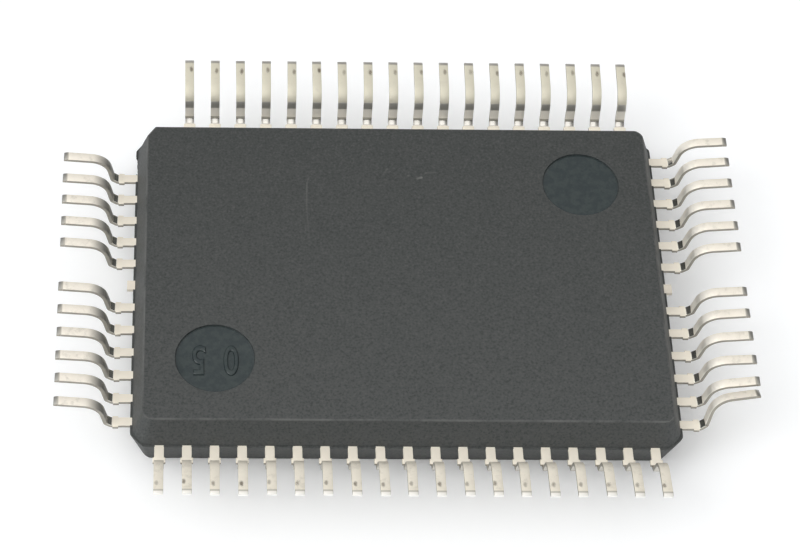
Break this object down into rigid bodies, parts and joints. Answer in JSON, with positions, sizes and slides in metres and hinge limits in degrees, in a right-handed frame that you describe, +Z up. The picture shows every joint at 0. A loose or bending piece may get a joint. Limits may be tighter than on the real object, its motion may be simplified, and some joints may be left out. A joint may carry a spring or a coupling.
{
  "type": "lcd controller chip",
  "caption": "Plastic quad flat pack lying on its marked face: formed gull-wing leads on four sides, ejector recesses in its underside, and a wired die on a lead frame inside.",
  "frame": {"origin": "middle of the marked face, which the package lies on", "axes": "+X along the body's length, +Y along its width, +Z up, from the marked face to the solder feet"},
  "size_m": [0.0256, 0.0196, 0.003],
  "materials": {
    "mould": "matte moulded epoxy",
    "plating": "tin plated, satin",
    "sheet": "bare rolled sheet",
    "adhesive": "filled adhesive",
    "silicon": "polished",
    "gold": "bright"
  },
  "bodies": {
    "root": {"moulded_body": "mould", "front_leads": "plating", "back_leads": "plating", "left_leads": "plating", "right_leads": "plating", "bent_leads": "plating", "die_paddle": "sheet", "die_attach": "adhesive", "die": "silicon", "front_wires": "gold", "back_wires": "gold", "left_wires": "gold", "right_wires": "gold"}
  },
  "joints": []
}
